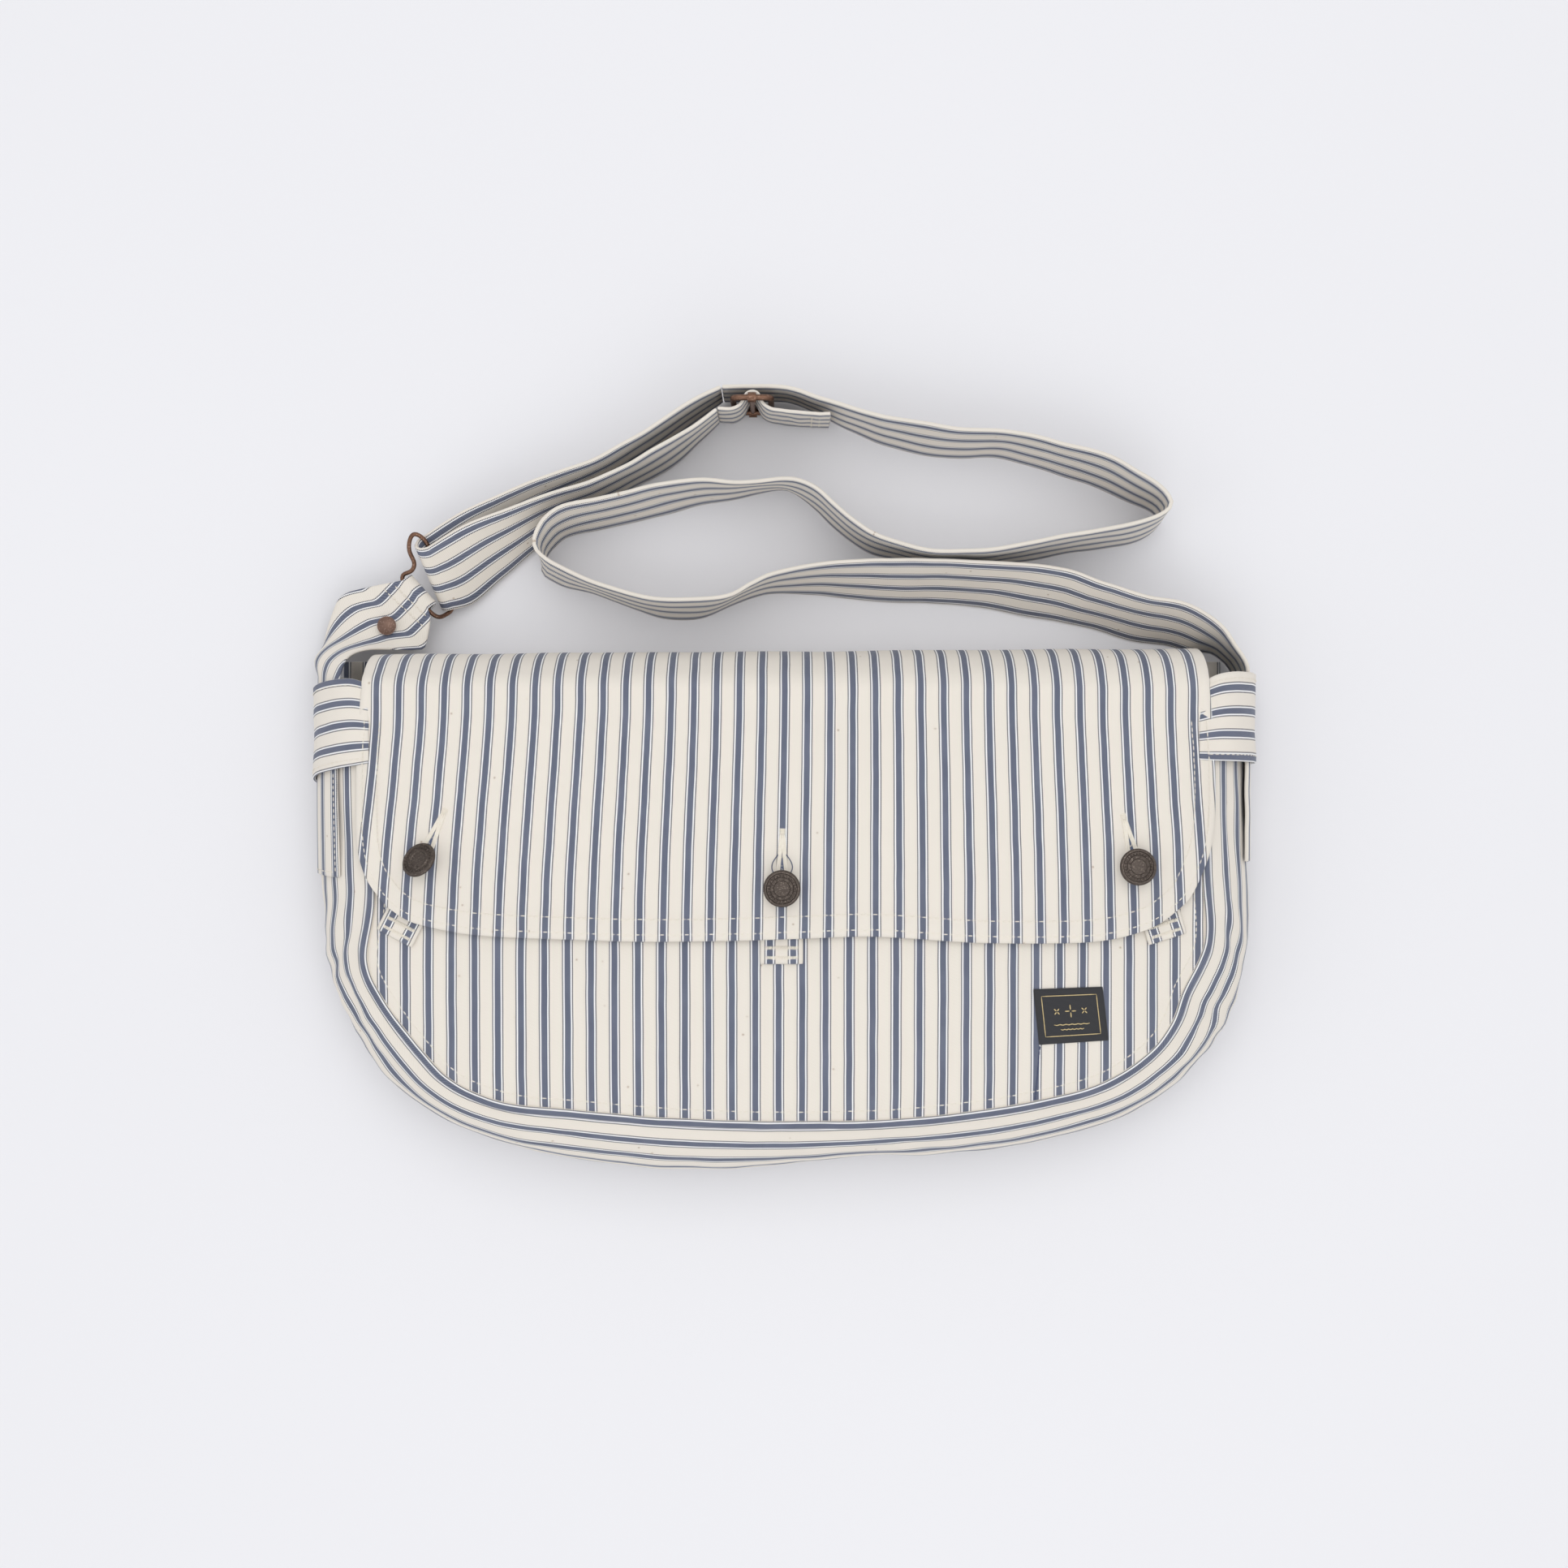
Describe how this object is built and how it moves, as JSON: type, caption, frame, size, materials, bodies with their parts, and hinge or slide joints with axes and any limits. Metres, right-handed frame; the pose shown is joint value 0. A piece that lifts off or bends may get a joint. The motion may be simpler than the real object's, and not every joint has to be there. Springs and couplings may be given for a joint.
{
  "type": "striped ticking mail sack",
  "caption": "Striped ticking messenger-style mail sack with button flap, shoulder strap, wire loop and slider.",
  "frame": {"origin": "middle of the back panel's rest face, the bag lying on its back", "axes": "+X to the bag's right along its width, +Y towards its mouth and flap fold, +Z out of its front"},
  "size_m": [0.4801, 0.395, 0.0796],
  "materials": {
    "ticking": "matte",
    "strap_ticking": "matte",
    "thread": "matte",
    "label_cloth": "matte",
    "button_metal": "antique",
    "rivet_copper": "satin",
    "copper_wire": "aged copper"
  },
  "bodies": {
    "bag": {"back_panel": "ticking", "back_seam_welt": "ticking", "bar_tacks_centre": "thread", "bar_tacks_left": "thread", "bar_tacks_right": "thread", "button_tab_centre": "ticking", "button_tab_left": "ticking", "button_tab_right": "ticking", "button_tack_centre": "button_metal", "button_tack_left": "button_metal", "button_tack_right": "button_metal", "flap_bridge": "ticking", "flap_ridge_roll": "ticking", "front_panel": "ticking", "front_seam_welt": "ticking", "gusset": "ticking", "label": "label_cloth", "loop_tab": "ticking", "loop_tab_fold": "ticking", "loop_tab_side": "ticking", "mouth_hem": "ticking", "pocket_divider_stitch": "thread", "rivet_burr": "rivet_copper", "rivet_cap": "rivet_copper", "rivet_post": "rivet_copper", "side_band_left": "ticking", "side_band_right": "ticking", "strap_free_end": "strap_ticking", "strap_inner_layer": "strap_ticking", "strap_left_turn": "strap_ticking", "strap_loop_wrap": "strap_ticking", "strap_lower_run": "strap_ticking", "strap_middle_run": "strap_ticking", "strap_outer_layer": "strap_ticking", "strap_right_turn": "strap_ticking", "strap_upper_run": "strap_ticking"},
    "flap": {"flap": "ticking", "flap_hem": "ticking"},
    "wire_loop": {"wire_loop": "copper_wire"},
    "slider": {"slider_frame": "copper_wire", "slider_bar": "copper_wire"},
    "button_left": {"button_cap_left": "button_metal", "button_shank_left": "button_metal"},
    "button_centre": {"button_cap_centre": "button_metal", "button_shank_centre": "button_metal"},
    "button_right": {"button_cap_right": "button_metal", "button_shank_right": "button_metal"}
  },
  "joints": [
    {"name": "flap_hinge", "type": "hinge", "parent": "bag", "child": "flap", "pos_m": [0, 0.112, 0.0623], "axis": [-1, 0, 0], "range_deg": [0, 150]},
    {"name": "button_left_spin", "type": "hinge", "parent": "bag", "child": "button_left", "pos_m": [-0.177, 0.027, 0.07045], "axis": [-0.3957, 0.4716, 0.788], "continuous": true},
    {"name": "button_centre_spin", "type": "hinge", "parent": "bag", "child": "button_centre", "pos_m": [-0.001, 0.014, 0.07655], "axis": [-0.0239, -0.0656, 0.9976], "continuous": true},
    {"name": "button_right_spin", "type": "hinge", "parent": "bag", "child": "button_right", "pos_m": [0.172, 0.024, 0.07097], "axis": [0.0782, 0.1355, 0.9877], "continuous": true},
    {"name": "wire_loop_swing", "type": "hinge", "parent": "bag", "child": "wire_loop", "pos_m": [-0.1882, 0.1609, 0.014], "axis": [0.6643, -0.7474, -0.0092], "range_deg": [-2.5, 3]},
    {"name": "slider_rock", "type": "hinge", "parent": "bag", "child": "slider", "pos_m": [-0.016, 0.257, 0.0238], "axis": [0, 0, 1], "range_deg": [-8, 8]}
  ]
}
